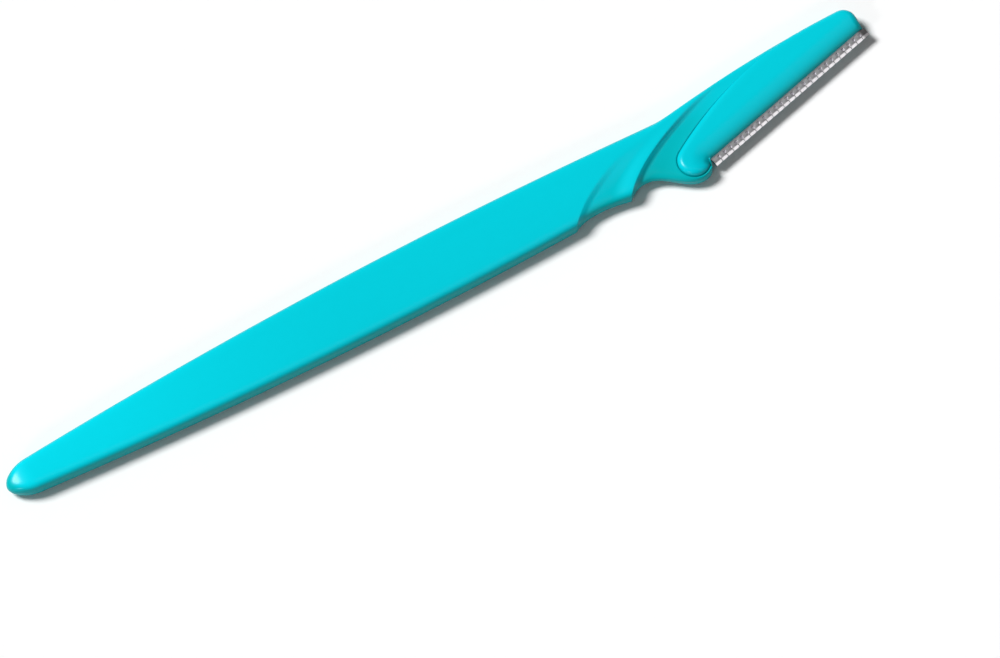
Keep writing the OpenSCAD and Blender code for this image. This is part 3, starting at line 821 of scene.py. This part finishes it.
class NodeSet:
    # one material's or world's nodes
    def __init__(self, tree):
        self.tree = tree
        tree.nodes.clear()

    def add(self, kind, settings=None, values=(), output=0):
        node = self.tree.nodes.new(kind)
        for name, value in (settings or {}).items():
            setattr(node, name, value)
        pairs = values.items() if isinstance(values, dict) else enumerate(values)
        for key, value in pairs:
            if isinstance(value, Socket):
                self.tree.links.new(value.output, node.inputs[key])
            else:
                node.inputs[key].default_value = value
        if output is None:
            return {socket.name: Socket(self, socket) for socket in node.outputs}
        return Socket(self, node.outputs[output]) if node.outputs else node

    def place(self):
        # the piece's own metres
        return self.add("ShaderNodeTexCoord", output="Object")

    def parts(self, vector):
        return self.add("ShaderNodeSeparateXYZ", {}, [vector], output=None)

    def stretched(self, turn, scale):
        return self.add("ShaderNodeMapping", {}, dict(
            Vector=self.place(), Rotation=(0, 0, -turn), Scale=scale))

    def noise(self, vector, scale, detail=2.0, roughness=0.5):
        return self.add("ShaderNodeTexNoise", {}, dict(
            Vector=vector, Scale=scale, Detail=detail, Roughness=roughness), output="Fac")

    def blend(self, share, first, second):
        return self.add("ShaderNodeMix", dict(data_type="RGBA"), {
            0: share, 6: first, 7: second}, output=2)

    def dim(self, colour, scale):
        return self.add("ShaderNodeVectorMath", dict(operation="SCALE"), {0: colour, "Scale": scale})

    def ramp(self, value, start, end):
        return self.add("ShaderNodeMapRange", dict(interpolation_type="SMOOTHSTEP"), [value, start, end])

    def bump(self, height, distance):
        return self.add("ShaderNodeBump", {}, dict(Height=height, Distance=distance, Strength=1.0))


def addMaterial(name, build):
    material = bpy.data.materials.new(name)
    material.use_nodes = True
    nodes = NodeSet(material.node_tree)
    shader = build(nodes)
    nodes.add("ShaderNodeOutputMaterial", {}, dict(Surface=shader))
    return material


plasticLook = dict(
    # the tail's lighter colour is painted light; the grip's colour is the plastic's own
    thinColour=(0.0, 0.70, 0.83, 1), thickColour=(0.0, 0.595, 0.70, 1), thinUntil=0.062,
    # painted shade: a darker colour for the low places of the carved steps, set by height
    deepColour=(0.0, 0.44, 0.47, 1), deepFrom=0.0034, deepTo=0.0026, deepShare=1.0,
    depth=0.93, roughness=0.22, specular=0.15,
    flowSize=0.012, flowStretch=(0.35, 1, 1), flowShade=0.6, flowRoughness=0.08, flowHeight=3,
    grainSize=0.0005, grainRoughness=0.06, grainHeight=0.000001,
    speckSize=0.00125, speckShade=0.3,
)
stripLook = dict(
    streakScale=(2600, 60, 600), streakShade=0.5, streakRoughness=0.12, streakHeight=0.0000008,
    stainScale=450, stainShade=0.35, stainRoughness=0.06,
    mattFrom=0.9, polishedFrom=0.45,     # shares of the guard's reach
    dullFrom=1.1, dullTo=0.6, dullShade=0.28,     # painted shade over the last slots before the cut end
)
steelLook = dict(
    stripLook, colour=(0.88, 0.86, 0.87, 1), darkColour=(0.66, 0.64, 0.67, 1),
    # the matt part's colour is darkened by painted shade
    roughness=0.34, polished=0.22, mattShade=0.85,
)
# painted shade: the blade's steel is coloured dark, for the shade in the guard's slots where it shows
shadedBladeLook = dict(
    stripLook, colour=(0.40, 0.39, 0.42, 1), darkColour=(0.28, 0.27, 0.30, 1),
    roughness=0.45, polished=0.45, mattShade=1.0,
)


def plastic(look):
    def build(n):
        flow = n.noise(n.stretched(0, look["flowStretch"]), 1 / look["flowSize"], 3.0)
        grain = n.noise(n.place(), 1 / look["grainSize"], 2.0, 0.6)
        speck = n.noise(n.place(), 1 / look["speckSize"], 1.0)
        # painted light: the tail is coloured lighter than the grip, as if more brightly lit
        way = n.parts(n.place())
        pastTailLight = n.ramp(way["X"], handleLow.x, handleLow.x + look["thinUntil"])
        # painted shade: the lower the surface, the darker its colour
        low = n.ramp(way["Z"], look["deepFrom"], look["deepTo"])
        clean = n.blend(pastTailLight, look["thinColour"], look["thickColour"])
        clean = n.blend(low * look["deepShare"], clean, look["deepColour"])
        tint = flow * look["flowShade"] + speck * look["speckShade"]
        # noise is a half on average, so that much comes off to keep the roughness as named
        average = (look["flowRoughness"] + look["grainRoughness"]) / 2
        return n.add("ShaderNodeBsdfPrincipled", {}, {
            "Base Color": n.blend(tint, clean, n.dim(clean, look["depth"])),
            "Roughness": flow * look["flowRoughness"] + grain * look["grainRoughness"]
            + (look["roughness"] - average),
            "Specular IOR Level": look["specular"],
            "Normal": n.bump(grain + flow * look["flowHeight"], look["grainHeight"]),
        })
    return build


def fromCorner(way, direction):
    # distance from the plastic edge's heel end, in a direction along or across the blade
    corner = plan.corner + (shift.x, shift.y)
    return way["X"] * float(direction[0]) + way["Y"] * float(direction[1]) - float(corner @ direction)


def brushed(look):
    # fine lines across the strip, polished where it is folded or ground to an edge, rougher and darkened by
    # painted shade near the plastic edge
    def build(n):
        streaks = n.noise(n.stretched(shape["tilt"], look["streakScale"]), 1.0, 3.0, 0.6)
        stain = n.noise(n.place(), look["stainScale"], 2.0)
        way = n.parts(n.place())
        mattAndShade = n.ramp(fromCorner(way, -plan.across), look["mattFrom"] * steel["reach"],
                      look["polishedFrom"] * steel["reach"])
        # painted shade: the end that is cut off at the tip is darkened, as the shade it lies in
        end = shape["edgeLength"] + steel["pastTip"]
        tipEndShade = n.ramp(fromCorner(way, plan.along), end - look["dullFrom"] * steel["pitch"],
                      end - look["dullTo"] * steel["pitch"])
        tint = streaks * look["streakShade"] + stain * look["stainShade"]
        shade = (mattAndShade * (look["mattShade"] - 1) + 1) * (tipEndShade * (look["dullShade"] - 1) + 1)
        average = (look["streakRoughness"] + look["stainRoughness"]) / 2
        return n.add("ShaderNodeBsdfPrincipled", {}, {
            "Base Color": n.dim(n.blend(tint, look["colour"], look["darkColour"]), shade),
            "Metallic": 1.0,
            "Roughness": mattAndShade * (look["roughness"] - look["polished"])
            + streaks * look["streakRoughness"] + stain * look["stainRoughness"]
            + (look["polished"] - average),
            "Normal": n.bump(streaks, look["streakHeight"]),
        })
    return build


def wear(piece, material):
    piece.data.materials.clear()
    piece.data.materials.append(material)


wear(handle, addMaterial("teal_handle_plastic", plastic(plasticLook)))
wear(cover, addMaterial("teal_cover_plastic", plastic(dict(plasticLook, flowSize=0.009, deepShare=0.7))))
wear(guard, addMaterial("stamped_steel", brushed(steelLook)))
# the blade wears the dark steel, painted shade for the slots
shadedBladeSteel = addMaterial("ground_steel", brushed(shadedBladeLook))
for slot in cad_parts["blade"].material_slots:
    slot.material = shadedBladeSteel
print("materials set")

# Floor, world and lamps
studio = dict(
    ambient=0.12, floorShade=0.95, floorBounce=0.75, floorSize=3.0,
    fibreScale=900, fibreShade=0.02, paperRoughness=0.85, fibreRoughness=0.1,
    mirrorDim=0.09, mirrorBright=1.2, mirrorWidth=(0.3, 0.15),     # what the steel and the gloss reflect
    mirrorFront=(0.24, 0.04),
    keyFrom=(-0.55, 0.49, 1.0), keyStrength=3.5, keyAngle=21,
    rimFrom=(-0.76, -0.55, 0.42), rimStrength=0.42, rimAngle=6,
)


def grey(value):
    return value, value, value, 1


def paper(n):
    # white to the camera, and duller in the light that it throws back up the razor's sides
    s = studio
    fibre = n.noise(n.place(), s["fibreScale"], 4.0, 0.6)
    seen = n.add("ShaderNodeLightPath", output="Is Camera Ray")
    white = n.blend(fibre, grey(s["floorShade"]), grey(s["floorShade"] - s["fibreShade"]))
    return n.add("ShaderNodeBsdfPrincipled", {}, {
        "Base Color": n.blend(seen, grey(s["floorBounce"]), white),
        "Roughness": fibre * s["fibreRoughness"] + s["paperRoughness"],
        "Specular IOR Level": 0.0,
    })


def buildFloor(s):
    size = s["floorSize"]
    corners = [(-size, -size, 0), (size, -size, 0), (size, size, 0), (-size, size, 0)]
    piece = addMesh("floor", corners, [(0, 1, 2, 3)])
    wear(piece, addMaterial("pale_paper", paper))


def buildWorld(s):
    world = bpy.data.worlds.new("studio")
    scene.world = world
    world.use_nodes = True
    n = NodeSet(world.node_tree)
    seen = n.add("ShaderNodeLightPath", output="Is Camera Ray")
    mirrored = n.add("ShaderNodeLightPath", output="Is Glossy Ray")
    # reflections show a dim room with one long bright panel in front, in line with the guard's fold
    along, towards = plan.along, -lookDirection(shot)
    fold = along[0] * towards.x + along[1] * towards.y
    way = n.parts(n.place())
    beside = (way["X"] * float(along[0]) + way["Y"] * float(along[1]) + fold).maths("ABSOLUTE")
    panel = n.ramp(beside, *s["mirrorWidth"]) * n.ramp(way["Y"], *s["mirrorFront"])
    room = panel * (s["mirrorBright"] - s["mirrorDim"]) + s["mirrorDim"]
    n.add("ShaderNodeOutputWorld", {}, dict(Surface=n.add("ShaderNodeBackground", {}, dict(
        Color=(1, 1, 1, 1),
        Strength=seen * (1 - s["ambient"]) + mirrored * (room - s["ambient"]) + s["ambient"]))))


def addSun(name, come, strength, angle):
    data = bpy.data.lights.new(name, "SUN")
    data.energy, data.angle = strength, math.radians(angle)
    lamp = bpy.data.objects.new(name, data)
    lamp.rotation_euler = Vector(come).to_track_quat("Z", "Y").to_euler()
    scene.collection.objects.link(lamp)


buildFloor(studio)
buildWorld(studio)
for name in ("key", "rim"):
    addSun(name, studio[name + "From"], studio[name + "Strength"], studio[name + "Angle"])
print("studio lit")
